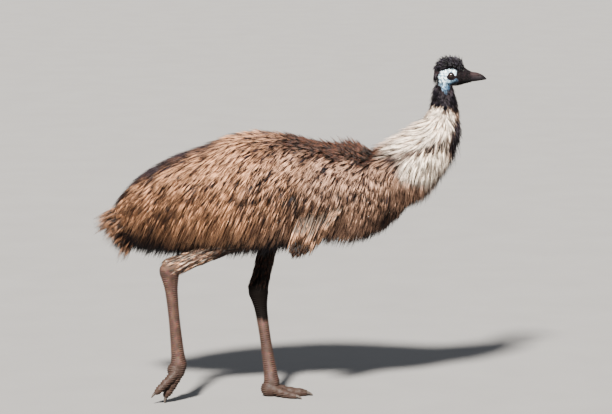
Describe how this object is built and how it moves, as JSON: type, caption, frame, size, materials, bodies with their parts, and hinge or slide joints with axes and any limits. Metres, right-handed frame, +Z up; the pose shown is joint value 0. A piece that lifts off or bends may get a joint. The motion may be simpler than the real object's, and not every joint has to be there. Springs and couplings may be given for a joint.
{
  "type": "emu",
  "caption": "Life-size still model of an emu in mid-stride, with a shaggy body, a bare-skinned face and a trailing foot.",
  "frame": {"origin": "middle of the model's footprint, on the floor", "axes": "+X the way the bird faces, +Y its left side, +Z up"},
  "size_m": [1.5428, 0.462, 1.3733],
  "materials": {
    "tail_feathers": "long shaggy brown feathers",
    "rump_feathers": "long shaggy brown feathers with dark tips",
    "breast_feathers": "shaggy grey-brown feathers with dark tips",
    "wing_feathers": "drooping brown feathers",
    "lower_neck_feathers": "pale cream feathers with black tips",
    "upper_neck_feathers": "sparse, hair-like black feathers",
    "face_skin": "bare blue-grey skin under short black feathers",
    "bill_horn": "dark horn, satin",
    "eyes": "wet dark brown",
    "shank_feathers": "short tan feathers",
    "leg_scales": "grey-brown scaled skin",
    "claws": "dark blunt horn"
  },
  "bodies": {
    "root": {"tail": "tail_feathers", "rump": "rump_feathers", "breast": "breast_feathers", "wing_left": "wing_feathers", "wing_right": "wing_feathers", "lower_neck": "lower_neck_feathers", "upper_neck": "upper_neck_feathers", "head": "face_skin", "upper_bill": "bill_horn", "lower_bill": "bill_horn", "eye_left": "eyes", "eye_right": "eyes", "shank_left": "shank_feathers", "shank_right": "shank_feathers", "tarsus_left": "leg_scales", "tarsus_right": "leg_scales", "foot_left": "leg_scales", "foot_right": "leg_scales", "claw_inner_left": "claws", "claw_middle_left": "claws", "claw_outer_left": "claws", "claw_inner_right": "claws", "claw_middle_right": "claws", "claw_outer_right": "claws"}
  },
  "joints": []
}
